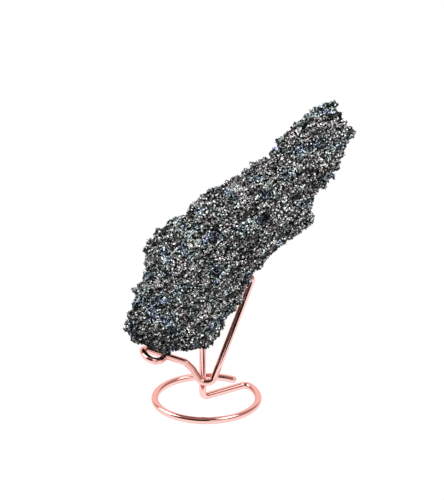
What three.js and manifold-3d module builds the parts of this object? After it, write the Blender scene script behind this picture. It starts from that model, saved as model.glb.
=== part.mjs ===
// A slab of silicon carbide crystal crust, leaning on a stand bent from two plated steel wires.
// Millimetres, +Z up, +X along the slab's upward lean, -Y towards the front of the specimen.
// The origin is below the middle of the whole object, on the surface that it stands on.

import * as THREE from 'three';
import { mergeVertices } from 'three/addons/utils/BufferGeometryUtils.js';
import Module from 'manifold-3d';

const wasm = await Module();
wasm.setup();

// ---- driving dimensions: the stand ----

const WIRE_RADIUS = 1.8; // 3.6 mm wire, 9 gauge
const WIRE_SIDES = 10;
const SEAT_GAP = 0.3; // left between pieces that touch

const RING_RADIUS = 27.3; // the foot ring's centreline, 58 mm across outside
const RING_FREE_END = 59; // degrees round from +X where the open ring starts
const RING_CORNER = 32; // degrees round from +X where the ring turns in to the spoke
const CORNER_BEND = 3.5;
const RING_STEPS = 32;
const CORNER_STEPS = 5;

const POST_X = -2; // from the ring's centre
const POST_Y = 1.7;
const POST_TOP = 60;
const ELBOW_BEND = 2.8;

const LEAN = THREE.MathUtils.degToRad(8); // the post, the cradle and the slab lean back
const CRADLE_Y = -1.05; // where the cradle's leaning plane has its zero point
const CRADLE_Z = 10.7;

// The cradle wire in its own leaning plane: [across, up the lean], and the bend at each corner.
const PRONG_CORNER = [-33.3, 19.5];
const PRONG_CORNER_BEND = 2.4;
const PRONG_ROOT = [-11, 12];
const PRONG_ROOT_BEND = 4.5;
const U_SHOULDER = [-7.2, 8];
const U_SHOULDER_BEND = 5;
const U_LEFT = [-2.9, 0.9];
const U_RIGHT = [3.1, 0.9];
const U_BEND = 3.6;
const LEG_TOP = [25.7, 62];
const LEG_TOP_BEND = 2.4;
const RETURN_END = [-8, 44];

// The eye hook at the prong's end: [across, out to the front].
const HOOK = [[-33.3, 3], [-32.7, 6.2], [-31, 9.6], [-28.6, 11.2], [-26.2, 10.4], [-24, 7.8], [-22.6, 4.4]];
const HOOK_STEPS = 10;

// ---- driving dimensions: the slab ----

const SLAB_ANGLE = THREE.MathUtils.degToRad(56); // the long axis, up from +X
const SLAB_FOOT = [-20, 16]; // the axis's zero point, in the leaning plane
const EDGE_CLIMB = 0.3; // how far the front lies up the lean from the back, per mm of thickness

// The slab's ragged outline: [along the axis, left edge, right edge], measured from the axis.
const SLAB_ROWS = [
  [-4, -22.5, -17],
  [-1, -27.5, -6],
  [0.5, -28, 0],
  [4, -29.5, 1.5],
  [7, -31, 4],
  [8.5, -31.5, 9.5],
  [13, -32, 13],
  [17, -32, 15.5],
  [18.5, -36.5, 16.5],
  [22, -34.5, 17],
  [26, -34.5, 17],
  [30, -36, 17],
  [35, -39, 15.5],
  [40, -42.5, 16],
  [45, -44, 16],
  [51, -43.5, 15],
  [57, -42.5, 13.5],
  [62, -40, 13.5],
  [68, -37.5, 14.5],
  [72, -36, 13.5],
  [77, -37, 16],
  [83, -35.5, 17],
  [88, -32, 17.5],
  [93, -29.5, 20.5],
  [98, -27, 22],
  [104, -24, 22.5],
  [107, -23.5, 19],
  [112, -22.5, 17.5],
  [116, -18.5, 14.5],
  [121, -17.5, 17],
  [125, -17.5, 17.5],
  [129, -19.5, 17.5],
  [135, -17, 17.5],
  [141, -15.5, 16.5],
  [147, -15, 14],
  [152, -13.5, 14],
  [155, -12.5, 13.5],
  [156, -12, 7],
  [158, -10.5, 0.5],
  [162, -7, -2],
];
const SLAB_COLUMNS = 10;
const EDGE_TRIM = 0.8; // the body stops this far inside the outline, which the crystals reach

const BACK_OFFSET = 2.35; // the flat back lies just in front of the cradle wire
const RIM_THICKNESS = 4.5;
const THICKNESS_LOW = 18; // of the slab's middle, at the lower end
const THICKNESS_HIGH = 9.5; // and at the upper end
const LUMP_HEIGHT = 1.6;
const FRONT_ROUGHNESS = 1.5; // how far the front's corners stand in or out at random
const BACK_ROUGHNESS = 1.1; // the back's only stand in, clear of the cradle
const EDGE_ROUGHNESS = 0.5;
const TOE_DEPTH = 3.4; // how far the foot of the slab reaches back over the prong
const TOE_LENGTH = 28;
const TOE_SLANT = 0.55; // the toe reaches further up the right side
const DOME_SIDES = 2.6; // higher is a flatter front with steeper sides
const DOME_SHOULDER = 0.75;
const END_TAPER = 18; // from each end to full thickness
const CORNER_SLIDE = 0.28; // how far the body's corners slide, against their spacing
const CALM_SPACING = 4; // rows closer than this slide less, so that the skin never crosses itself

const FRONT_CRYSTALS = 52;
const EDGE_CRYSTALS = 44;
const BACK_CRYSTALS = 8;
const CRYSTAL_MIN = 2.4; // radius of the plates
const CRYSTAL_MAX = 5;
const CRYSTAL_PLATE = 0.55; // thickness against radius
const RANDOM_SEED = 23;

// ---- helpers ----

let randomState = RANDOM_SEED;

function random() {
  randomState = (randomState + 0x6d2b79f5) | 0;
  let mixed = Math.imul(randomState ^ (randomState >>> 15), 1 | randomState);
  mixed = (mixed + Math.imul(mixed ^ (mixed >>> 7), 61 | mixed)) ^ mixed;
  return ((mixed ^ (mixed >>> 14)) >>> 0) / 4294967296;
}

function between(low, high) {
  return low + (high - low) * random();
}

// A point by its place in the cradle's leaning plane, and how far it stands out to the front.
function leaning(across, up, front) {
  return new THREE.Vector3(
    across,
    CRADLE_Y + up * Math.sin(LEAN) - front * Math.cos(LEAN),
    CRADLE_Z + up * Math.cos(LEAN) + front * Math.sin(LEAN),
  );
}

function toSolid(geometry) {
  const bare = geometry.index ? geometry.toNonIndexed() : geometry.clone();
  bare.deleteAttribute('normal');
  bare.deleteAttribute('uv');
  const merged = mergeVertices(bare, 1e-4);
  return new wasm.Manifold(new wasm.Mesh({
    numProp: 3,
    vertProperties: Float32Array.from(merged.attributes.position.array),
    triVerts: Uint32Array.from(merged.index.array),
  }));
}

function toGeometry(solid) {
  const mesh = solid.getMesh();
  const geometry = new THREE.BufferGeometry();
  geometry.setAttribute('position', new THREE.BufferAttribute(mesh.vertProperties, 3));
  geometry.setIndex(new THREE.BufferAttribute(mesh.triVerts, 1));
  geometry.computeVertexNormals();
  return geometry;
}

// A centreline held as closely spaced points, so that its steps can crowd into the bends.
class WireRoute extends THREE.Curve {
  constructor(points) {
    super();
    this.points = points;
  }

  getPoint(t) {
    const place = t * (this.points.length - 1);
    const first = Math.min(Math.floor(place), this.points.length - 2);
    return this.points[first].clone().lerp(this.points[first + 1], place - first);
  }

  getTangent(t) {
    const last = this.points.length - 1;
    const near = Math.round(t * last);
    const before = this.points[Math.max(near - 1, 0)];
    const after = this.points[Math.min(near + 1, last)];
    return after.clone().sub(before).normalize();
  }

  getUtoTmapping(u) {
    return u;
  }
}

// Points along straight runs joined by round bends; the corners carry the bend radii.
function bentWire(corners, radii, stepAngle = Math.PI / 10) {
  const points = [corners[0].clone()];
  for (let i = 1; i < corners.length - 1; i += 1) {
    const incoming = corners[i].clone().sub(corners[i - 1]).normalize();
    const outgoing = corners[i + 1].clone().sub(corners[i]).normalize();
    const turn = incoming.angleTo(outgoing);
    const setback = radii[i - 1] * Math.tan(turn / 2);
    const side = outgoing.clone().addScaledVector(incoming, -incoming.dot(outgoing)).normalize();
    const start = corners[i].clone().addScaledVector(incoming, -setback);
    const centre = start.clone().addScaledVector(side, radii[i - 1]);
    const steps = Math.max(2, Math.ceil(turn / stepAngle));
    for (let k = 0; k <= steps; k += 1) {
      const angle = (turn * k) / steps;
      points.push(centre.clone()
        .addScaledVector(side, -radii[i - 1] * Math.cos(angle))
        .addScaledVector(incoming, radii[i - 1] * Math.sin(angle)));
    }
  }
  points.push(corners[corners.length - 1].clone());
  return points;
}

// A round wire along the points, with a flat of its section facing down, and rounded ends.
function wireSolid(points, radius) {
  const section = new THREE.Shape();
  const corner = radius / Math.cos(Math.PI / WIRE_SIDES);
  for (let k = 0; k < WIRE_SIDES; k += 1) {
    const angle = ((k + 0.5) * 2 * Math.PI) / WIRE_SIDES;
    if (k === 0) section.moveTo(corner * Math.cos(angle), corner * Math.sin(angle));
    else section.lineTo(corner * Math.cos(angle), corner * Math.sin(angle));
  }
  const tube = new THREE.ExtrudeGeometry(section, {
    steps: points.length - 1,
    extrudePath: new WireRoute(points),
  });
  let solid = toSolid(tube);
  for (const end of [points[0], points[points.length - 1]]) {
    const cap = new THREE.SphereGeometry(radius * 0.98, WIRE_SIDES, 6);
    cap.translate(end.x, end.y, end.z);
    solid = solid.add(toSolid(cap));
  }
  return solid;
}

// ---- the stand ----

// The foot ring from its free end round to the corner, the spoke to the middle, and the post.
function baseRoute() {
  const height = WIRE_RADIUS;
  const cornerAngle = THREE.MathUtils.degToRad(RING_CORNER);
  const inner = RING_RADIUS - CORNER_BEND;
  const bendX = inner * Math.cos(cornerAngle);
  const bendY = inner * Math.sin(cornerAngle);
  const reach = Math.hypot(bendX - POST_X, bendY - POST_Y);
  const bearing = Math.atan2(bendY - POST_Y, bendX - POST_X);
  const heading = bearing - Math.PI + Math.asin(CORNER_BEND / reach);

  const points = [];
  const ringStart = THREE.MathUtils.degToRad(RING_FREE_END);
  const ringEnd = cornerAngle + 2 * Math.PI;
  for (let k = 0; k <= RING_STEPS; k += 1) {
    const angle = ringStart + ((ringEnd - ringStart) * k) / RING_STEPS;
    points.push(new THREE.Vector3(RING_RADIUS * Math.cos(angle), RING_RADIUS * Math.sin(angle), height));
  }
  const bendEnd = heading + 2 * Math.PI - Math.PI / 2;
  for (let k = 1; k <= CORNER_STEPS; k += 1) {
    const angle = cornerAngle + ((bendEnd - cornerAngle) * k) / CORNER_STEPS;
    points.push(new THREE.Vector3(
      bendX + CORNER_BEND * Math.cos(angle),
      bendY + CORNER_BEND * Math.sin(angle),
      height,
    ));
  }
  const spokeStart = points[points.length - 1];
  const foot = new THREE.Vector3(POST_X, POST_Y, height);
  const top = new THREE.Vector3(POST_X, POST_Y + (POST_TOP - height) * Math.tan(LEAN), POST_TOP);
  return points.concat(bentWire([spokeStart, foot, top], [ELBOW_BEND]).slice(1));
}

// The eye hook, the prong, the U in front of the post, the leg, and the run back behind the slab.
function cradleRoute() {
  const slope = (PRONG_ROOT[1] - PRONG_CORNER[1]) / (PRONG_ROOT[0] - PRONG_CORNER[0]);
  const hookPoints = HOOK.map(([across, out]) => {
    const up = PRONG_CORNER[1] + (across - PRONG_CORNER[0]) * slope;
    const seat = leaning(across, up, 0);
    return new THREE.Vector3(seat.x, seat.y - out, seat.z);
  });
  const hook = new THREE.CatmullRomCurve3(hookPoints).getPoints(HOOK_STEPS).reverse();
  const run = bentWire([
    hook[hook.length - 1],
    leaning(...PRONG_CORNER, 0),
    leaning(...PRONG_ROOT, 0),
    leaning(...U_SHOULDER, 0),
    leaning(...U_LEFT, 0),
    leaning(...U_RIGHT, 0),
    leaning(...LEG_TOP, 0),
    leaning(...RETURN_END, 0),
  ], [PRONG_CORNER_BEND, PRONG_ROOT_BEND, U_SHOULDER_BEND, U_BEND, U_BEND, LEG_TOP_BEND]);
  return hook.concat(run.slice(1));
}

// ---- the slab ----

// The slab's left and right edges at a place along its axis.
function outlineAt(along) {
  const last = SLAB_ROWS.length - 1;
  let row = 0;
  while (row < last - 1 && SLAB_ROWS[row + 1][0] < along) row += 1;
  const [fromAlong, fromLeft, fromRight] = SLAB_ROWS[row];
  const [toAlong, toLeft, toRight] = SLAB_ROWS[row + 1];
  const share = THREE.MathUtils.clamp((along - fromAlong) / (toAlong - fromAlong), 0, 1);
  return [fromLeft + (toLeft - fromLeft) * share, fromRight + (toRight - fromRight) * share];
}

// A point by its place along and across the slab's axis, and how far it stands out to the front.
function slabPoint(along, across, front) {
  const x = SLAB_FOOT[0] + along * Math.cos(SLAB_ANGLE) + across * Math.sin(SLAB_ANGLE);
  const up = SLAB_FOOT[1] + along * Math.sin(SLAB_ANGLE) - across * Math.cos(SLAB_ANGLE);
  return leaning(x, up + EDGE_CLIMB * front, front);
}

// The broad swells of the crust's front.
function lumps(along, across) {
  const broad = Math.sin(0.21 * along + 0.9) * Math.sin(0.26 * across - 0.4);
  const middling = Math.sin(0.47 * along - 0.35 * across + 2.1) * Math.sin(0.41 * across + 0.22 * along);
  return LUMP_HEIGHT * (broad + 0.7 * middling);
}

// The front's mean height above the flat back, where share runs from the left edge to the right.
function frontHeight(along, share) {
  const length = SLAB_ROWS[SLAB_ROWS.length - 1][0];
  const climb = THREE.MathUtils.clamp(along / length, 0, 1);
  const middle = THREE.MathUtils.lerp(THICKNESS_LOW, THICKNESS_HIGH, climb);
  const toEnd = Math.min(along - SLAB_ROWS[0][0], length - along);
  const ends = THREE.MathUtils.smoothstep(toEnd, -4, END_TAPER);
  const fromMiddle = Math.min(1, Math.abs(2 * share - 1));
  const dome = (1 - fromMiddle ** DOME_SIDES) ** DOME_SHOULDER;
  return RIM_THICKNESS + (middle - RIM_THICKNESS) * dome * ends;
}

// The back's place: flat, but for the foot of the slab, which reaches back over the prong.
function backHeight(along, share) {
  const [left, right] = outlineAt(along);
  const across = left + (right - left) * share;
  const lowness = 1 - THREE.MathUtils.smoothstep(along - TOE_SLANT * across, 0, TOE_LENGTH);
  return BACK_OFFSET - TOE_DEPTH * lowness;
}

// The distance along the axis from a row of the outline to the next, or none past either end.
function rowSpacing(i) {
  return i < 0 || i > SLAB_ROWS.length - 2 ? 1 : SLAB_ROWS[i + 1][0] - SLAB_ROWS[i][0];
}

// The slab's faceted body, from a front and a back sheet of corners that share the ragged edge's rows.
function slabBody() {
  const rows = SLAB_ROWS.length;
  const columns = SLAB_COLUMNS;
  const vertices = [];
  const faces = [];
  for (const side of [0, 1]) {
    for (let i = 0; i < rows; i += 1) {
      const [along, outerLeft, outerRight] = SLAB_ROWS[i];
      const left = outerLeft + EDGE_TRIM;
      const right = outerRight - EDGE_TRIM;
      const rowGap = Math.min(rowSpacing(i - 1), rowSpacing(i));
      const calm = Math.min(1, rowGap / CALM_SPACING);
      const columnGap = (right - left) / columns;
      for (let j = 0; j <= columns; j += 1) {
        const onRim = i === 0 || i === rows - 1 || j === 0 || j === columns;
        const slip = calm * (onRim ? EDGE_ROUGHNESS : CORNER_SLIDE * columnGap);
        const across = left + columnGap * j + between(-slip, slip);
        const moved = along + calm * between(-CORNER_SLIDE, CORNER_SLIDE) * rowGap;
        const share = j / columns;
        const back = backHeight(along, share) + between(0, BACK_ROUGHNESS);
        const rough = between(-1, 1) * FRONT_ROUGHNESS;
        const relief = onRim ? 0.4 * rough : lumps(along, across) + rough;
        const front = BACK_OFFSET + frontHeight(along, share) + relief;
        vertices.push(...slabPoint(moved, across, side === 0 ? back : front).toArray());
      }
    }
  }
  const at = (side, i, j) => side * rows * (columns + 1) + i * (columns + 1) + j;
  const quad = (a, b, c, d) => faces.push(a, b, c, a, c, d);
  for (let i = 0; i < rows - 1; i += 1) {
    for (let j = 0; j < columns; j += 1) {
      quad(at(0, i, j), at(0, i + 1, j), at(0, i + 1, j + 1), at(0, i, j + 1));
      quad(at(1, i, j), at(1, i, j + 1), at(1, i + 1, j + 1), at(1, i + 1, j));
    }
    quad(at(0, i, 0), at(1, i, 0), at(1, i + 1, 0), at(0, i + 1, 0));
    quad(at(0, i, columns), at(0, i + 1, columns), at(1, i + 1, columns), at(1, i, columns));
  }
  for (let j = 0; j < columns; j += 1) {
    quad(at(0, 0, j), at(0, 0, j + 1), at(1, 0, j + 1), at(1, 0, j));
    quad(at(0, rows - 1, j), at(1, rows - 1, j), at(1, rows - 1, j + 1), at(0, rows - 1, j + 1));
  }
  const geometry = new THREE.BufferGeometry();
  geometry.setAttribute('position', new THREE.Float32BufferAttribute(vertices, 3));
  geometry.setIndex(faces);
  return toSolid(geometry);
}

// One six-sided plate crystal, sunk about half way into the crust at a random slant.
function plateCrystal(centre, outward, radius) {
  const height = radius * CRYSTAL_PLATE * between(0.8, 1.5);
  const plate = new THREE.CylinderGeometry(radius * between(0.75, 0.95), radius, height, 6);
  const tilt = new THREE.Vector3(between(-1, 1), between(-1, 1), between(-1, 1));
  const axis = outward.clone().addScaledVector(tilt, 0.9).normalize();
  plate.applyQuaternion(new THREE.Quaternion().setFromAxisAngle(new THREE.Vector3(0, 1, 0), between(0, 1)));
  plate.applyQuaternion(new THREE.Quaternion().setFromUnitVectors(new THREE.Vector3(0, 1, 0), axis));
  plate.translate(centre.x, centre.y, centre.z);
  return toSolid(plate);
}

// A point near the slab's edge, for crystal n of count, and the way that the edge faces.
function edgeSeat(radius, n, count) {
  const first = SLAB_ROWS[0][0];
  const length = SLAB_ROWS[SLAB_ROWS.length - 1][0] - first;
  const along = first + radius + ((length - 2 * radius) * (n + random())) / count;
  const [left, right] = outlineAt(along);
  const side = n % 2 === 0 ? -1 : 1;
  const across = side < 0 ? left + 0.8 * radius : right - 0.8 * radius;
  const share = (across - left) / (right - left);
  const front = between(BACK_OFFSET + 0.7 * radius, BACK_OFFSET + frontHeight(along, share));
  const sideways = slabPoint(0, side, 0).sub(slabPoint(0, 0, 0));
  return [slabPoint(along, across, front), sideways];
}

// A point near the slab's front or back, well inside the outline, and the way that it faces.
function faceSeat(radius, facesBack) {
  const last = SLAB_ROWS[SLAB_ROWS.length - 1][0];
  const widestLeft = Math.min(...SLAB_ROWS.map((row) => row[1]));
  const widestRight = Math.max(...SLAB_ROWS.map((row) => row[2]));
  let along;
  let across;
  let left;
  let right;
  do {
    along = between(SLAB_ROWS[0][0] + radius, last - radius);
    across = between(widestLeft, widestRight);
    [left, right] = outlineAt(along);
  } while (across < left + radius || across > right - radius);
  const share = (across - left) / (right - left);
  const facing = leaning(0, 0, 1).sub(leaning(0, 0, 0));
  if (facesBack) {
    return [slabPoint(along, across, backHeight(along, share) + 0.4 * radius), facing.negate()];
  }
  const surface = BACK_OFFSET + frontHeight(along, share) + lumps(along, across);
  return [slabPoint(along, across, surface - 0.15 * radius), facing];
}

// A number of plate crystals, each placed by the seat function.
function crystals(count, seat) {
  return Array.from({ length: count }, (_, n) => {
    const radius = between(CRYSTAL_MIN, CRYSTAL_MAX);
    return plateCrystal(...seat(radius, n, count), radius);
  });
}

// The largest connected skin of a solid, without the sealed voids and chips that joins can leave.
function mainBody(solid) {
  return solid.decompose().reduce((kept, piece) => (piece.volume() > kept.volume() ? piece : kept));
}

function slabSolid(cradlePoints) {
  const crust = wasm.Manifold.union([
    slabBody(),
    ...crystals(FRONT_CRYSTALS, (radius) => faceSeat(radius, false)),
    ...crystals(EDGE_CRYSTALS, edgeSeat),
    ...crystals(BACK_CRYSTALS, (radius) => faceSeat(radius, true)),
  ]);
  return mainBody(crust.subtract(wireSolid(cradlePoints, WIRE_RADIUS + SEAT_GAP)));
}

// ---- the object ----

const rosePlate = new THREE.MeshStandardMaterial({ color: 0xe3a391, roughness: 0.15, metalness: 1 });
const carbide = new THREE.MeshStandardMaterial({ color: 0x3a3c40, roughness: 0.3, metalness: 0.4 });

function named(name, solid, material) {
  const mesh = new THREE.Mesh(toGeometry(solid), material.clone());
  mesh.name = name;
  return mesh;
}

const cradlePoints = cradleRoute();
const object = new THREE.Group();
object.add(named('base_wire', wireSolid(baseRoute(), WIRE_RADIUS), rosePlate));
object.add(named('cradle_wire', wireSolid(cradlePoints, WIRE_RADIUS), rosePlate));
object.add(named('silicon_carbide', slabSolid(cradlePoints), carbide));

const bounds = new THREE.Box3().setFromObject(object, true);
const middle = bounds.getCenter(new THREE.Vector3());
object.position.set(-middle.x, -middle.y, -bounds.min.z);

export default object;
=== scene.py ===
# A slab of silicon carbide crystal crust, leaning on a rose-gold stand bent from two round wires.
import math

import bmesh
import bpy
import numpy as np
from mathutils import Euler, Matrix, Vector, noise


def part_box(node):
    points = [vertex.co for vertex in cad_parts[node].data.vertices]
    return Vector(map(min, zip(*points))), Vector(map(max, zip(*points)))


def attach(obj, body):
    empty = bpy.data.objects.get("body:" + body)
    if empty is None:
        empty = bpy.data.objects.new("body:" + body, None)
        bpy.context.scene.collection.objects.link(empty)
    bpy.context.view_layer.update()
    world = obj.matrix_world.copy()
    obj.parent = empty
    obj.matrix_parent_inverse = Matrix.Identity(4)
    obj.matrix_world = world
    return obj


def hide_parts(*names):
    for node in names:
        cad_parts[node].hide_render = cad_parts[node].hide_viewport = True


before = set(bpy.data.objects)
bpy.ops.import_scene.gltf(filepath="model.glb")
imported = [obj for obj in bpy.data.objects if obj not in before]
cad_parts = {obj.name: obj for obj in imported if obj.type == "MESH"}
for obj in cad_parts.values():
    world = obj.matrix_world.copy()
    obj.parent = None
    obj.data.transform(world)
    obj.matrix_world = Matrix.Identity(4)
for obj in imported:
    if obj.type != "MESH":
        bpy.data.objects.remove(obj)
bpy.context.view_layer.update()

MM = 0.001

# ---- the stand's sizes, in millimetres, as the part's source has them ----

WIRE_RADIUS = 1.8
RING_RADIUS = 27.3
RING_FREE_END = math.radians(59)
RING_CORNER = math.radians(32)
CORNER_BEND = 3.5
POST_FOOT = (-2.0, 1.7)
POST_TOP = 60.0
ELBOW_BEND = 2.8

# the post and the cradle's plane lean back by this; the plane's zero is this far back and this high
LEAN = math.radians(8)
CRADLE_Y = -1.05
CRADLE_Z = 10.7
# (across, up the lean), and the bend radius at each corner but the last
CRADLE_CORNERS = [(-33.3, 19.5), (-11, 12), (-7.2, 8), (-2.9, 0.9), (3.1, 0.9), (25.7, 62), (-8, 44)]
CRADLE_BENDS = [2.4, 4.5, 5.0, 3.6, 3.6, 2.4]
# the eye hook: (across, how far out to the front)
HOOK = [(-33.3, 3), (-32.7, 6.2), (-31, 9.6), (-28.6, 11.2), (-26.2, 10.4), (-24, 7.8), (-22.6, 4.4)]

# each weld: its place in the leaning plane, and its half width and height; then the half depth of them all
WELDS = [(-2.0, 1.4, 1.5, 1.2), (-2.0, 47.2, 1.5, 1.3)]
WELD_HALF_DEPTH = 1.3

# how finely the round wires are drawn: across the wire, in bends, round the ring and at its corner,
# between the hook's points, and at the domed ends with their smallest share of the radius
BEVEL_STEPS = 12
BEND_STEP = math.radians(6)
RING_STEPS = 90
CORNER_STEPS = 16
HOOK_STEPS = 5
END_STEPS = 7
END_TIP = 0.02

# ---- the crust's sizes, in millimetres ----

SEED = 5
# the body: near corners that are merged, the grid, the rounds of calming its steps, and how far it is sunk
SAME_PLACE = 0.002
BODY_VOXEL = 0.75
CALM_ROUNDS = 90
BODY_INSET = 0.45
# the rim starts where the normal's share to the front or back falls below this, and is full that much lower
RIM_START = 0.85
RIM_SPREAD = 0.4
# the growth bands run up to the right at this slant; lumps and fine ridges are long along them
BAND_SLANT = math.radians(38)
# each: size along the bands, across them and through the slab, then height
RELIEF = [(15.0, 6.0, 6.0, 0.6), (11.0, 2.2, 5.0, 0.7), (2.4, 1.8, 2.4, 0.9)]
# angular blocks: their size, then their height on the faces and on the rim
BLOCKS = (2.6, 0.35, 1.1)
# keeps the heights of neighbouring blocks apart
BLOCK_SHUFFLE = 7.3
PITS = 150
PIT_RADIUS = (0.9, 2.2)
PIT_DEPTH = 1.0
# relief as a share from 0 to 1, which sets the painted shade of hollows: where it is level, and what each
# millimetre adds
LEVEL_HEIGHT = 0.6
HEIGHT_PER_MM = 0.3

# The plates. Real crust also has far finer grains between them, so its grain is drawn coarser than real.
CRYSTALS = 86000
CRYSTAL_PIECES = 5
CRYSTAL_RADIUS = (0.26, 0.56)
# higher makes more of them small
CRYSTAL_SMALLNESS = 2.2
RIM_CRYSTAL_GROWTH = 0.25
# thickness as a share of the radius, stretch of the hexagon, and tilt from the crust's normal
CRYSTAL_PLATE = (0.6, 1.5)
CRYSTAL_STRETCH = (0.75, 1.25)
CRYSTAL_TILT = 0.7
# how far a plate's seat strays, how far it stands out in radii, and how much of that the rim takes off
CRYSTAL_STRAY = 0.45
CRYSTAL_LIFT = (-0.2, 0.7)
RIM_SINK = 0.5
WIRE_CLEARANCE = 0.3
CHECKED_AT_ONCE = 2000

# a plate's brightness: gain, how rare bright ones are, its share in a hollow, and what a ridge adds; the last
# two are painted shade in the hollows and painted light on the ridges
GLINT_GAIN = 1.75
GLINT_RARITY = 2.6
HOLLOW_SHADE_SHARE = 0.55
RIDGE_LIGHT_SHARE = 0.7
# painted shade: how fast a plate darkens as the surface turns down, and its least share there
UNDERSIDE_SHADE_FALL = 1.5
UNDERSIDE_SHADE_LEAST = 0.1
# streaks along the bands: size as in the relief, strength, and least and most share
STREAK_SIZE = (12.0, 0.9, 4.0)
STREAK_STRENGTH = 2.3
STREAK_RANGE = (0.2, 2)
# painted shade on the low left end, which is the darkest: its middle, how far that reaches, and the share it
# takes off
SHADED_END = (-50.0, 0.0, 37.0)
SHADED_END_REACH = (17.0, 40.0, 15.0)
END_SHADE_SHARE = 0.6

# ---- small helpers ----


def linear(hex_colour):
    """An sRGB hex colour as linear RGBA."""
    channels = [int(hex_colour[i:i + 2], 16) / 255 for i in (1, 3, 5)]
    return [c / 12.92 if c <= 0.04045 else ((c + 0.055) / 1.055) ** 2.4 for c in channels] + [1.0]


def add_node(tree, kind, links=(), **settings):
    """Adds a node, sets its properties and sockets, and links its inputs: (socket, node, output)."""
    node = tree.nodes.new(kind)
    for name, value in settings.items():
        if hasattr(node, name):
            setattr(node, name, value)
        else:
            node.inputs[name.replace("_", " ")].default_value = value
    for socket, source, output in links:
        tree.links.new(source.outputs[output], node.inputs[socket])
    return node


def new_material(name):
    """An empty material and its node tree."""
    material = bpy.data.materials.new(name)
    material.use_nodes = True
    material.node_tree.nodes.clear()
    return material, material.node_tree


def finish_material(tree, shader):
    """Makes the shader the material's surface."""
    output = tree.nodes.new("ShaderNodeOutputMaterial")
    tree.links.new(shader.outputs[0], output.inputs["Surface"])


def put_in_scene(name, mesh, material, smooth):
    """An object of the mesh in the scene, with the material on all of it."""
    piece = bpy.data.objects.new(name, mesh)
    bpy.context.scene.collection.objects.link(piece)
    mesh.materials.clear()
    mesh.materials.append(material)
    mesh.polygons.foreach_set("use_smooth", [smooth] * len(mesh.polygons))
    return piece


# ---- the stand's routes ----

wire_low, wire_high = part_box("base_wire")
RING_CENTRE = Vector((wire_low.x + wire_high.x, wire_low.y + wire_high.y, 0)) / 2 / MM


def leaning(across, up, front=0.0):
    """A point by its place in the cradle's leaning plane, and how far it stands out to the front."""
    return Vector((
        across,
        CRADLE_Y + up * math.sin(LEAN) - front * math.cos(LEAN),
        CRADLE_Z + up * math.cos(LEAN) + front * math.sin(LEAN),
    ))


def bent_wire(corners, radii):
    """Points along straight runs joined by round bends."""
    points = [corners[0].copy()]
    for before, corner, after, radius in zip(corners, corners[1:], corners[2:], radii):
        incoming = (corner - before).normalized()
        outgoing = (after - corner).normalized()
        turn = incoming.angle(outgoing)
        side = (outgoing - incoming * incoming.dot(outgoing)).normalized()
        start = corner - incoming * radius * math.tan(turn / 2)
        centre = start + side * radius
        steps = max(2, math.ceil(turn / BEND_STEP))
        for k in range(steps + 1):
            angle = turn * k / steps
            points.append(centre - side * radius * math.cos(angle) + incoming * radius * math.sin(angle))
    points.append(corners[-1].copy())
    return points


def base_route():
    """The open foot ring, the spoke to the middle, and the post."""
    inner = RING_RADIUS - CORNER_BEND
    bend = Vector((inner * math.cos(RING_CORNER), inner * math.sin(RING_CORNER), WIRE_RADIUS))
    foot = Vector((*POST_FOOT, WIRE_RADIUS))
    offset = bend - foot
    heading = math.atan2(offset.y, offset.x) - math.pi + math.asin(CORNER_BEND / offset.length)
    points = []
    for k in range(RING_STEPS + 1):
        angle = RING_FREE_END + (RING_CORNER + 2 * math.pi - RING_FREE_END) * k / RING_STEPS
        points.append(Vector((RING_RADIUS * math.cos(angle), RING_RADIUS * math.sin(angle), WIRE_RADIUS)))
    bend_end = heading + 1.5 * math.pi
    for k in range(1, CORNER_STEPS + 1):
        angle = RING_CORNER + (bend_end - RING_CORNER) * k / CORNER_STEPS
        points.append(bend + CORNER_BEND * Vector((math.cos(angle), math.sin(angle), 0)))
    top = foot + Vector((0, math.tan(LEAN), 1)) * (POST_TOP - WIRE_RADIUS)
    return points + bent_wire([points[-1], foot, top], [ELBOW_BEND])[1:]


def smooth_through(points, steps):
    """A uniform Catmull-Rom curve through the points."""
    padded = [2 * points[0] - points[1], *points, 2 * points[-1] - points[-2]]
    curve = []
    for a, b, c, d in zip(padded, padded[1:], padded[2:], padded[3:]):
        for k in range(steps):
            t = k / steps
            curve.append(0.5 * (2 * b + (c - a) * t + (2 * a - 5 * b + 4 * c - d) * t ** 2
                                + (3 * b - a - 3 * c + d) * t ** 3))
    return curve + [points[-1].copy()]


def cradle_route():
    """The eye hook, the prong, the U in front of the post, the leg, and the run back behind the slab."""
    corner, root = CRADLE_CORNERS[0], CRADLE_CORNERS[1]
    slope = (root[1] - corner[1]) / (root[0] - corner[0])
    hook = [
        leaning(across, corner[1] + (across - corner[0]) * slope) - Vector((0, out, 0))
        for across, out in HOOK
    ]
    hook = smooth_through(hook, HOOK_STEPS)[::-1]
    corners = [hook[-1]] + [leaning(*c) for c in CRADLE_CORNERS]
    return hook + bent_wire(corners, CRADLE_BENDS)[1:]


def round_ends(points, radius):
    """Adds close steps with shrinking radii at both ends, so that the wire's ends are domes."""
    radii = [1.0] * len(points)
    for end in (0, -1):
        tip, neighbour = points[end], points[1 if end == 0 else -2]
        outward = (tip - neighbour).normalized()
        for k in range(1, END_STEPS + 1):
            angle = 0.5 * math.pi * k / END_STEPS
            place = tip + outward * radius * math.sin(angle)
            size = max(math.cos(angle), END_TIP)
            points = [place, *points] if end == 0 else [*points, place]
            radii = [size, *radii] if end == 0 else [*radii, size]
    return points, radii


def add_welds(mesh):
    """The two small spot welds that join the cradle to the post, as beads between the wires."""
    bm = bmesh.new()
    bm.from_mesh(mesh)
    for across, up, width, tall in WELDS:
        middle = (leaning(across, up, -WIRE_RADIUS) + RING_CENTRE) * MM
        size = Vector((width, WELD_HALF_DEPTH, tall)) * MM
        shape = Matrix.LocRotScale(middle, Euler((-LEAN, 0, 0)), size)
        bmesh.ops.create_uvsphere(bm, u_segments=20, v_segments=12, radius=1, matrix=shape)
    bm.to_mesh(mesh)
    bm.free()


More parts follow.
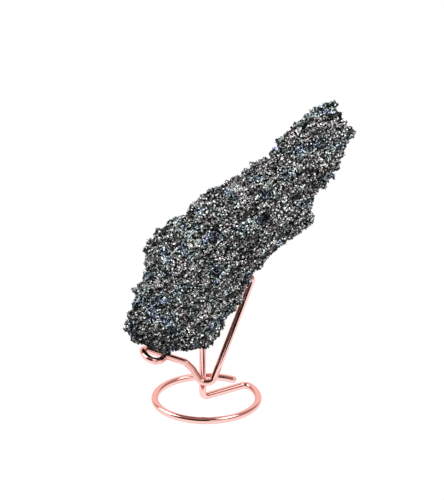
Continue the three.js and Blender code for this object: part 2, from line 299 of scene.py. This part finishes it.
def wire_piece(name, route, material):
    """A round wire along the route, in metres, about the ring's centre."""
    points, radii = round_ends(route, WIRE_RADIUS)
    data = bpy.data.curves.new(name, "CURVE")
    data.dimensions = "3D"
    data.bevel_depth = WIRE_RADIUS * MM
    data.bevel_resolution = BEVEL_STEPS
    data.use_fill_caps = True
    spline = data.splines.new("POLY")
    spline.points.add(len(points) - 1)
    for point, place, size in zip(spline.points, points, radii):
        point.co = (*((place + RING_CENTRE) * MM), 1)
        point.radius = size
    temporary = bpy.data.objects.new(name + "_route", data)
    bpy.context.scene.collection.objects.link(temporary)
    bpy.context.view_layer.update()
    shaped = temporary.evaluated_get(bpy.context.evaluated_depsgraph_get())
    mesh = bpy.data.meshes.new_from_object(shaped)
    bpy.data.objects.remove(temporary)
    mesh.name = name
    return put_in_scene(name, mesh, material, True)


# ---- materials ----

# patches of haze on the wire and of tint on the crust: their size in mm
PATCH_SIZE = 25 / 3
# the tints that a thin oxide film gives the crust, each with its place on the film's scale
FILM_TINTS = [
    (0.12, "#d0c496"),
    (0.26, "#d0cdbc"),
    (0.36, "#d1ccd7"),
    (0.46, "#d3d7d3"),
    (0.56, "#c6d7d3"),
    (0.66, "#b3cae7"),
    (0.75, "#c7bae4"),
    (0.86, "#aadccb"),
]
# how far one plate's film may differ from its patch's, on the same scale
FILM_SHIFT = 0.05
# the small facets: their size in mm, coarser than real so that they show, their tilt, and their least and
# most brightness
FACET_SIZE = 0.45
FACET_TILT = 0.6
FACET_SHADE = (0.1, 2.6)
# grains of the matrix: their size in mm, coarser than real
MATRIX_GRAIN = 5 / 7


def rose_gold_plate():
    """Steel wire, bent, polished and electroplated in rose gold: a bright pink mirror, a little hazy."""
    material, tree = new_material("rose_gold_plate")
    place = add_node(tree, "ShaderNodeTexCoord")
    haze = add_node(tree, "ShaderNodeTexNoise", [("Vector", place, "Object")],
                    Scale=1000 / PATCH_SIZE, Detail=2.0)
    rough = add_node(tree, "ShaderNodeMapRange", [("Value", haze, "Fac")], To_Min=0.03, To_Max=0.1)
    shader = add_node(tree, "ShaderNodeBsdfPrincipled", [("Roughness", rough, "Result")], Metallic=1.0)
    shader.inputs["Base Color"].default_value = linear("#f0c3bd")
    shader.inputs["Specular Tint"].default_value = linear("#f3cdc6")
    finish_material(tree, shader)
    return material


def facet_normal(tree, cells, tilt):
    """A normal that leans its own way in each cell of a pattern, as on the small flat facets of a crystal."""
    lean = add_node(tree, "ShaderNodeVectorMath", [(0, cells, "Color")], operation="SUBTRACT")
    lean.inputs[1].default_value = (0.5, 0.5, 0.5)
    lean = add_node(tree, "ShaderNodeVectorMath", [(0, lean, "Vector")], operation="SCALE", Scale=tilt)
    surface = add_node(tree, "ShaderNodeNewGeometry")
    inputs = [(0, surface, "Normal"), (1, lean, "Vector")]
    turned = add_node(tree, "ShaderNodeVectorMath", inputs, operation="ADD")
    return add_node(tree, "ShaderNodeVectorMath", [(0, turned, "Vector")], operation="NORMALIZE")


def carbide_crystals():
    """Hexagonal silicon carbide plates: half-metallic lustre, from black to bright facets, in faint tints.

    The tints are those of a thin oxide film, and change from patch to patch. Facets glint as the light or the
    eye moves."""
    material, tree = new_material("silicon_carbide_crystals")
    place = add_node(tree, "ShaderNodeTexCoord")
    grain_and_painted_shade = add_node(tree, "ShaderNodeAttribute", attribute_name="grain_and_painted_shade")
    split = add_node(tree, "ShaderNodeSeparateColor", [("Color", grain_and_painted_shade, "Color")])
    film = add_node(tree, "ShaderNodeTexNoise", [("Vector", place, "Object")],
                    Scale=1000 / PATCH_SIZE, Detail=2.0)
    own = add_node(tree, "ShaderNodeMapRange", [("Value", split, "Red")],
                   To_Min=-FILM_SHIFT, To_Max=FILM_SHIFT)
    shifted = add_node(tree, "ShaderNodeMath", [(0, film, "Fac"), (1, own, "Result")], operation="ADD")
    ramp = add_node(tree, "ShaderNodeValToRGB", [("Fac", shifted, "Value")])
    elements = ramp.color_ramp.elements
    for element, (position, colour) in zip(elements, (FILM_TINTS[0], FILM_TINTS[-1])):
        element.position = position
        element.color = linear(colour)
    for position, colour in FILM_TINTS[1:-1]:
        elements.new(position).color = linear(colour)
    cells = add_node(tree, "ShaderNodeTexVoronoi", [("Vector", place, "Object")], Scale=1000 / FACET_SIZE)
    chance = add_node(tree, "ShaderNodeSeparateColor", [("Color", cells, "Color")])
    least, most = FACET_SHADE
    sparkle = add_node(tree, "ShaderNodeMapRange", [("Value", chance, "Red")], To_Min=least, To_Max=most)
    # the blue channel is the plate's brightness together with its painted shade
    inputs = [(0, split, "Blue"), (1, sparkle, "Result")]
    bright = add_node(tree, "ShaderNodeMath", inputs, operation="MULTIPLY")
    inputs = [(0, ramp, "Color"), ("Scale", bright, "Value")]
    tint = add_node(tree, "ShaderNodeVectorMath", inputs, operation="SCALE")
    rough = add_node(tree, "ShaderNodeMapRange", [("Value", split, "Green")], To_Min=0.2, To_Max=0.55)
    facets = facet_normal(tree, cells, FACET_TILT)
    inputs = [("Base Color", tint, "Vector"), ("Roughness", rough, "Result"), ("Normal", facets, "Vector")]
    shader = add_node(tree, "ShaderNodeBsdfPrincipled", inputs, Metallic=0.35)
    finish_material(tree, shader)
    return material


def carbide_matrix():
    """The dark, fine-grained carbide that the plates grow from: a rough near-black that darkens the gaps."""
    material, tree = new_material("silicon_carbide_matrix")
    place = add_node(tree, "ShaderNodeTexCoord")
    cells = add_node(tree, "ShaderNodeTexVoronoi", [("Vector", place, "Object")], Scale=1000 / MATRIX_GRAIN)
    bump = add_node(tree, "ShaderNodeBump", [("Height", cells, "Distance")], Strength=0.8, Distance=0.0004)
    shader = add_node(tree, "ShaderNodeBsdfPrincipled", [("Normal", bump, "Normal")],
                      Metallic=0.0, Roughness=0.6, Specular_IOR_Level=0.02)
    shader.inputs["Base Color"].default_value = linear("#060607")
    finish_material(tree, shader)
    return material


# ---- the crust ----


def read_vectors(items, name):
    """One vector for each item of a mesh, as rows."""
    values = np.empty(len(items) * 3)
    items.foreach_get(name, values)
    return values.reshape(-1, 3)


def band_noise(places, along, across, through):
    """Noise at places in millimetres, its lumps of these sizes along and across the growth bands."""
    turned = np.stack([
        (places[:, 0] * math.cos(BAND_SLANT) + places[:, 2] * math.sin(BAND_SLANT)) / along,
        (places[:, 2] * math.cos(BAND_SLANT) - places[:, 0] * math.sin(BAND_SLANT)) / across,
        places[:, 1] / through,
    ], axis=1)
    return np.array([noise.noise(Vector(place)) for place in turned])


def block_noise(places, size):
    """One random height for each angular block of about this size, from -1 to 1."""
    nearest = [noise.voronoi(Vector(place) / size)[1][0] for place in places]
    return np.array([noise.cell(BLOCK_SHUFFLE * middle) * 2 - 1 for middle in nearest])


def crust_body():
    """The slab's fine body: a merged copy of its solid, evened to a close grid, sunk a little and made lumpy.

    Also gives each corner's rim, from 0 on the two faces to 1 on the edge, and its height, from 0 to 1."""
    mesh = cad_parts["silicon_carbide"].data.copy()
    bm = bmesh.new()
    bm.from_mesh(mesh)
    bmesh.ops.remove_doubles(bm, verts=bm.verts, dist=SAME_PLACE * MM)
    bm.to_mesh(mesh)
    bm.free()
    temporary = bpy.data.objects.new("crust_solid", mesh)
    bpy.context.scene.collection.objects.link(temporary)
    remesh = temporary.modifiers.new("even_grid", "REMESH")
    remesh.mode = "VOXEL"
    remesh.voxel_size = BODY_VOXEL * MM
    # only front to back, so that the outline keeps its corners
    calm = temporary.modifiers.new("calm_steps", "SMOOTH")
    calm.iterations = CALM_ROUNDS
    calm.use_x = False
    calm.use_z = False
    bpy.context.view_layer.update()
    shaped = temporary.evaluated_get(bpy.context.evaluated_depsgraph_get())
    fine = bpy.data.meshes.new_from_object(shaped)
    bpy.data.objects.remove(temporary)
    fine.name = "crust_body"

    places = read_vectors(fine.vertices, "co") / MM
    normals = read_vectors(fine.vertices, "normal")
    rim = np.clip((RIM_START - np.abs(normals[:, 1])) / RIM_SPREAD, 0, 1)
    random = np.random.default_rng(SEED + 1)
    pit = np.zeros(len(places))
    middles = places[random.choice(len(places), PITS, replace=False)]
    for middle, radius in zip(middles, random.uniform(*PIT_RADIUS, PITS)):
        reach = np.linalg.norm(places - middle, axis=1) / radius
        pit = np.maximum(pit, radius * np.exp(-reach ** 2))
    relief = sum(height * band_noise(places, *size) for *size, height in RELIEF) - PIT_DEPTH * pit
    block_size, low_blocks, high_blocks = BLOCKS
    blocks = (low_blocks + (high_blocks - low_blocks) * rim) * block_noise(places, block_size)
    places += normals * (relief + blocks - BODY_INSET)[:, None]
    fine.vertices.foreach_set("co", (places * MM).ravel())
    fine.update()
    return fine, rim, np.clip(LEVEL_HEIGHT + HEIGHT_PER_MM * relief, 0, 1)


def crystal_template():
    """One hexagonal plate on a pointed root: corners and faces about its middle, unit radius."""
    bm = bmesh.new()
    bmesh.ops.create_cone(bm, cap_ends=True, segments=6, radius1=0.0, radius2=1.0, depth=1.0)
    bmesh.ops.remove_doubles(bm, verts=bm.verts, dist=0.001)
    bmesh.ops.recalc_face_normals(bm, faces=bm.faces)
    corners = np.array([v.co[:] for v in bm.verts])
    faces = [[v.index for v in f.verts] for f in bm.faces]
    bm.free()
    return corners, faces


def turned_axes(random, normals):
    """For each plate, its own three axes: the third is near the crust's normal, tilted at random."""
    tilt = random.normal(size=normals.shape)
    tilt /= np.linalg.norm(tilt, axis=1, keepdims=True)
    third = normals + CRYSTAL_TILT * tilt
    third /= np.linalg.norm(third, axis=1, keepdims=True)
    helper = random.normal(size=normals.shape)
    first = np.cross(helper, third)
    first /= np.linalg.norm(first, axis=1, keepdims=True)
    second = np.cross(third, first)
    return first, second, third


def crystal_pieces(body, rim, height, wires, material):
    """The druse: tens of thousands of plates standing in the crust's surface, joined in a few meshes."""
    random = np.random.default_rng(SEED)
    area = np.empty(len(body.polygons))
    body.polygons.foreach_get("area", area)
    chosen = random.choice(len(area), CRYSTALS, p=area / area.sum())
    centres = read_vectors(body.polygons, "center")[chosen] / MM
    normals = read_vectors(body.polygons, "normal")[chosen]
    corner = np.array([body.polygons[int(face)].vertices[0] for face in chosen])
    rim = rim[corner]
    height = height[corner]

    smallest, largest = CRYSTAL_RADIUS
    radius = smallest + (largest - smallest) * random.random(CRYSTALS) ** CRYSTAL_SMALLNESS
    radius *= 1 + RIM_CRYSTAL_GROWTH * rim * random.random(CRYSTALS)
    thickness = radius * random.uniform(*CRYSTAL_PLATE, CRYSTALS)
    stretch = random.uniform(*CRYSTAL_STRETCH, CRYSTALS)
    seats = centres + random.uniform(-CRYSTAL_STRAY, CRYSTAL_STRAY, (CRYSTALS, 3))
    seats += normals * (radius * random.uniform(*CRYSTAL_LIFT, CRYSTALS) * (1 - RIM_SINK * rim))[:, None]
    first, second, third = turned_axes(random, normals)
    # red shifts a plate's tint, green sets its roughness and blue its brightness, which carries the painted
    # shade of hollows, underside and low end
    grain_and_painted_shade = random.random((CRYSTALS, 4))
    # painted shade: plates in the hollows of the relief are darker, those on its ridges lighter
    painted_hollow_shade = HOLLOW_SHADE_SHARE + RIDGE_LIGHT_SHARE * height
    # painted shade: plates darken as the crust's surface turns to the underside
    shade = np.clip(1.0 + UNDERSIDE_SHADE_FALL * normals[:, 2], UNDERSIDE_SHADE_LEAST, 1)
    # painted shade: plates darken towards the low left end
    painted_end_shade = 1 - END_SHADE_SHARE * np.exp(-(((seats - SHADED_END) / SHADED_END_REACH) ** 2).sum(axis=1))
    streak = np.clip(1 + STREAK_STRENGTH * band_noise(seats, *STREAK_SIZE), *STREAK_RANGE)
    glint = GLINT_GAIN * grain_and_painted_shade[:, 2] ** GLINT_RARITY
    grain_and_painted_shade[:, 2] = np.clip(glint * painted_hollow_shade * shade * streak * painted_end_shade, 0, 1)

    route = np.array([p[:] for p in wires]) + np.array(RING_CENTRE[:])
    clear = np.ones(CRYSTALS, bool)
    for start in range(0, CRYSTALS, CHECKED_AT_ONCE):
        part = slice(start, start + CHECKED_AT_ONCE)
        gap = np.linalg.norm(seats[part, None, :] - route[None, :, :], axis=2).min(axis=1)
        clear[part] = gap > WIRE_RADIUS + WIRE_CLEARANCE + radius[part]

    corners, faces = crystal_template()
    sizes = np.stack([radius * stretch, radius / stretch, thickness], axis=1)
    kept = np.flatnonzero(clear)
    pieces = []
    for number, group in enumerate(np.array_split(kept, CRYSTAL_PIECES), 1):
        local = corners[None, :, :] * sizes[group][:, None, :]
        places = (seats[group][:, None, :]
                  + local[:, :, 0:1] * first[group][:, None, :]
                  + local[:, :, 1:2] * second[group][:, None, :]
                  + local[:, :, 2:3] * third[group][:, None, :])
        starts = np.arange(len(group))[:, None] * len(corners)
        polygons = [(starts + np.array(face)[None, :]).tolist() for face in faces]
        mesh = bpy.data.meshes.new(f"crust_crystals_{number}")
        mesh.from_pydata((places * MM).reshape(-1, 3), [], [face for block in polygons for face in block])
        stored = mesh.attributes.new("grain_and_painted_shade", "FLOAT_COLOR", "POINT")
        stored.data.foreach_set("color", np.repeat(grain_and_painted_shade[group], len(corners), axis=0).ravel())
        pieces.append(put_in_scene(mesh.name, mesh, material, False))
    return pieces


# ---- the floor, the lights and the camera ----

# the table: its half side in metres, how little it takes of the lights, and its own white light
FLOOR_REACH = 20.0
TABLE_REFLECTANCE = 0.02
TABLE_GLOW = 0.98
# the room is a warm grey, and mirrors see its dark parts as a dim brown
ROOM_COLOUR = "#ffd0c4"
ROOM_LIGHT = 0.47
DARK_COLOUR = "#ff8a6c"
DARK_GLOW = 0.03
DARKENING = 0.455
# each round part of the room: the direction of its middle, the cosines of the angles from that where it ends
# and where it is full, and its strength, as a share of the darkening for the dark ones
WHITE_SWEEP = ((0, 0.94, 0.34), 0.6, 0.88, 0.65)
DARK_PARTS = [
    ((-0.32, -0.8, 0.5), 0.85, 0.92, 1.0),
    ((0.2, -0.61, 0.77), 0.93, 0.97, 0.9),
    ((-0.83, -0.56, 0.0), 0.66, 0.74, 1.0),
]
# the dark card's corners, from its near left one, its height over the table, in millimetres, and its glow
CARD = [
    (8, -66), (24, -44), (48, -38), (78, -70), (104, -130), (104, -230), (55, -400), (0, -700), (-60, -3000),
    (-3000, -3000), (-3000, -240), (-850, -230), (-560, -500), (-240, -690), (-110, -330), (-62, -240),
    (8, -236),
]
CARD_HEIGHT = 2
CARD_GLOW = 0.4 * DARK_GLOW
# the same for the sheet where the table is at its brightest, round the front and sides of the foot: a painted
# pool of light whose gap at the foot is painted shadow under the stand, seen only in the wires
BRIGHT = [(-700, -700), (700, -700), (700, 300), (45, 300), (45, -42), (-75, -42), (-75, 300), (-700, 300)]
BRIGHT_HEIGHT = 1
BRIGHT_GLOW = 1.2
# how far the lights stand from the point that they are turned to, in metres
LIGHT_DISTANCE = 1.4
LIGHT_AIM = Vector((0, 0, 0.06))
# soft boxes: degrees round from the front to the right, degrees up, metres across and up, the radiance,
# and whether mirrors see it
SOFTBOXES = [
    ("left_box", -98, 32, 1.0, 1.1, 2.6, True),
    ("left_fill", -98, 32, 1.0, 1.1, 3.2, False),
    ("right_box", 61, 53, 0.8, 0.8, 2.2, True),
    ("right_fill", 61, 50, 0.8, 0.8, 3.4, False),
    ("right_low_box", 25, 18, 0.9, 0.45, 0.8, True),
    ("top_box", 110, 70, 0.5, 0.5, 1.6, True),
    ("front_fill", -12, 42, 1.2, 1.2, 6.5, False),
]


def studio_floor():
    """The white table, lit from inside, so it stays even and takes hardly any shadow."""
    bm = bmesh.new()
    bmesh.ops.create_grid(bm, x_segments=1, y_segments=1, size=FLOOR_REACH)
    mesh = bpy.data.meshes.new("floor")
    bm.to_mesh(mesh)
    bm.free()
    material, tree = new_material("white_light_table")
    paper = add_node(tree, "ShaderNodeBsdfDiffuse")
    paper.inputs["Color"].default_value = [TABLE_REFLECTANCE] * 3 + [1]
    glow = add_node(tree, "ShaderNodeEmission", Strength=TABLE_GLOW)
    both = add_node(tree, "ShaderNodeAddShader", [(0, paper, 0), (1, glow, 0)])
    finish_material(tree, both)
    floor = put_in_scene("floor", mesh, material, False)


def table_sheet(name, outline, height, colour, strength):
    """A glowing sheet on the table that only mirrors see: it sets what the wires show of the table."""
    bm = bmesh.new()
    rim = [bm.verts.new((x * MM, y * MM, height * MM)) for x, y in outline]
    sheet = bm.faces.new(rim)
    bmesh.ops.triangulate(bm, faces=[sheet])
    mesh = bpy.data.meshes.new(name)
    bm.to_mesh(mesh)
    bm.free()
    material, tree = new_material(name)
    glow = add_node(tree, "ShaderNodeEmission", Strength=strength)
    glow.inputs["Color"].default_value = linear(colour)
    finish_material(tree, glow)
    piece = put_in_scene(name, mesh, material, False)
    piece.visible_camera = False
    piece.visible_diffuse = False
    piece.visible_shadow = False


def softbox(name, round_from_front, height, width, tall, radiance, mirrored):
    """A soft light, placed by its angles as seen from the object and set by its surface's radiance."""
    turn, rise = math.radians(round_from_front), math.radians(height)
    away = Vector((math.sin(turn) * math.cos(rise), -math.cos(turn) * math.cos(rise), math.sin(rise)))
    data = bpy.data.lights.new(name, "AREA")
    data.shape = "RECTANGLE"
    data.size = width
    data.size_y = tall
    data.energy = radiance * math.pi * width * tall
    lamp = bpy.data.objects.new(name, data)
    bpy.context.scene.collection.objects.link(lamp)
    lamp.location = LIGHT_AIM + away * LIGHT_DISTANCE
    lamp.rotation_euler = (-away).to_track_quat("-Z", "Y").to_euler()
    lamp.visible_camera = False
    lamp.visible_glossy = mirrored


def room_part(tree, place, middle, edge, core, strength):
    """How much a round part of the room adds: 0 outside the edge, all of it inside the core (as cosines)."""
    toward = add_node(tree, "ShaderNodeVectorMath", [(0, place, "Generated")], operation="DOT_PRODUCT")
    toward.inputs[1].default_value = middle
    return add_node(tree, "ShaderNodeMapRange", [("Value", toward, "Value")], interpolation_type="SMOOTHSTEP",
                    From_Min=edge, From_Max=core, To_Min=0.0, To_Max=strength)


def studio_light():
    """A warm grey room with a white sweep behind, dark parts in front and at the left, and the soft boxes."""
    world = bpy.data.worlds.new("studio")
    bpy.context.scene.world = world
    world.use_nodes = True
    tree = world.node_tree
    tree.nodes.clear()
    place = add_node(tree, "ShaderNodeTexCoord")
    sweep = room_part(tree, place, *WHITE_SWEEP)
    front, above, low = (
        room_part(tree, place, middle, edge, core, -share * DARKENING)
        for middle, edge, core, share in DARK_PARTS
    )
    dark = add_node(tree, "ShaderNodeMath", [(0, front, "Result"), (1, above, "Result")], operation="MINIMUM")
    dark = add_node(tree, "ShaderNodeMath", [(0, dark, "Value"), (1, low, "Result")], operation="MINIMUM")
    lit = add_node(tree, "ShaderNodeMath", [(0, dark, "Value")], operation="ADD")
    lit.inputs[1].default_value = ROOM_LIGHT
    glow = add_node(tree, "ShaderNodeMath", [(0, dark, "Value")], operation="MULTIPLY")
    glow.inputs[1].default_value = -DARK_GLOW / DARKENING
    room = None
    lights = [(sweep, "Result", "#ffffff"), (lit, "Value", ROOM_COLOUR), (glow, "Value", DARK_COLOUR)]
    for light, socket, colour in lights:
        part = add_node(tree, "ShaderNodeBackground", [("Strength", light, socket)])
        part.inputs["Color"].default_value = linear(colour)
        room = part if room is None else add_node(tree, "ShaderNodeAddShader", [(0, room, 0), (1, part, 0)])
    output = tree.nodes.new("ShaderNodeOutputWorld")
    tree.links.new(room.outputs[0], output.inputs["Surface"])
    for box in SOFTBOXES:
        softbox(*box)


# in metres, degrees down and millimetres of lens, and the point it looks at
CAMERA_DISTANCE = 3.0
CAMERA_PITCH = math.radians(23.8)
CAMERA_LENS = 414.3
CAMERA_TARGET = Vector((-8.6, 0.0, 87.27)) * MM


def photographer():
    """The camera: far off in front, looking down a little through a long lens."""
    data = bpy.data.cameras.new("camera")
    data.sensor_width = 36
    data.lens = CAMERA_LENS
    data.clip_end = 50
    camera = bpy.data.objects.new("camera", data)
    bpy.context.scene.collection.objects.link(camera)
    away = Vector((0, -math.cos(CAMERA_PITCH), math.sin(CAMERA_PITCH)))
    camera.location = CAMERA_TARGET + CAMERA_DISTANCE * away
    camera.rotation_euler = (-away).to_track_quat("-Z", "Y").to_euler()
    bpy.context.scene.camera = camera
    bpy.context.scene.view_settings.view_transform = "Standard"


# ---- the object ----

photographer()
studio_floor()
table_sheet("dark_card", CARD, CARD_HEIGHT, DARK_COLOUR, CARD_GLOW)
table_sheet("bright_sheet", BRIGHT, BRIGHT_HEIGHT, "#ffffff", BRIGHT_GLOW)
studio_light()

plate = rose_gold_plate()
base_points = base_route()
cradle_points = cradle_route()
stand = [("ring_and_post", "base_wire", base_points), ("cradle", "cradle_wire", cradle_points)]
for name, node, route in stand:
    wire = wire_piece(name, route, plate)
    if name == "cradle":
        add_welds(wire.data)
    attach(wire, "root")
    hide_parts(node)

body_mesh, body_rim, body_height = crust_body()
crust = [put_in_scene("crust_body", body_mesh, carbide_matrix(), True)]
crust += crystal_pieces(body_mesh, body_rim, body_height, base_points + cradle_points, carbide_crystals())
for piece in crust:
    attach(piece, "root")
    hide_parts("silicon_carbide")
